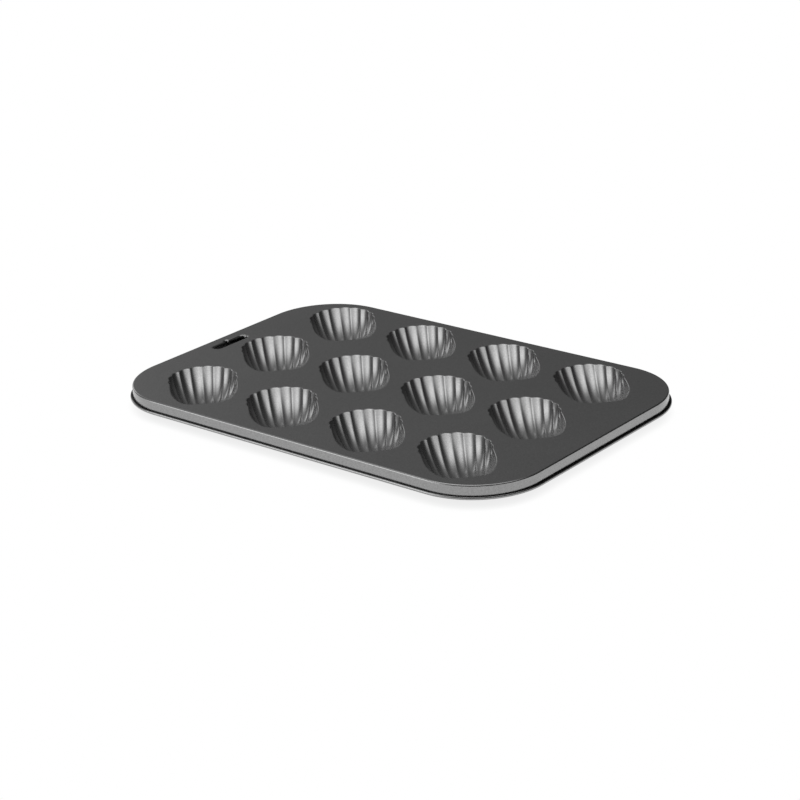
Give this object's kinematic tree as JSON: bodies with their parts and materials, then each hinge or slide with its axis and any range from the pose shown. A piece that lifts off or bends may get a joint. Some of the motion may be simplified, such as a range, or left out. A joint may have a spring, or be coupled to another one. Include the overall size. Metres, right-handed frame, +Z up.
{
  "type": "madeleine pan",
  "caption": "Rectangular pressed-steel baking tin with rows of fluted shell cavities set diagonally, a short skirt, a wired rolled rim and a hanging slot.",
  "frame": {"origin": "on the table under the middle of the tin, at the bottoms of the shells", "axes": "+X along the length, away from the hanging slot; +Y across the tin, to the fan ends of the shells; +Z up out of the cavities"},
  "size_m": [0.38, 0.264, 0.0175],
  "materials": {
    "coated_sheet": "satin dark grey non-stick coating with a faint metallic fleck",
    "wire": "drawn steel wire inside the rolled rim"
  },
  "bodies": {
    "root": {"deck": "coated_sheet", "skirt": "coated_sheet", "rolled_rim": "coated_sheet", "rim_wire": "wire", "shell_1_1": "coated_sheet", "shell_1_2": "coated_sheet", "shell_1_3": "coated_sheet", "shell_1_4": "coated_sheet", "shell_2_1": "coated_sheet", "shell_2_2": "coated_sheet", "shell_2_3": "coated_sheet", "shell_2_4": "coated_sheet", "shell_3_1": "coated_sheet", "shell_3_2": "coated_sheet", "shell_3_3": "coated_sheet", "shell_3_4": "coated_sheet"}
  },
  "joints": []
}
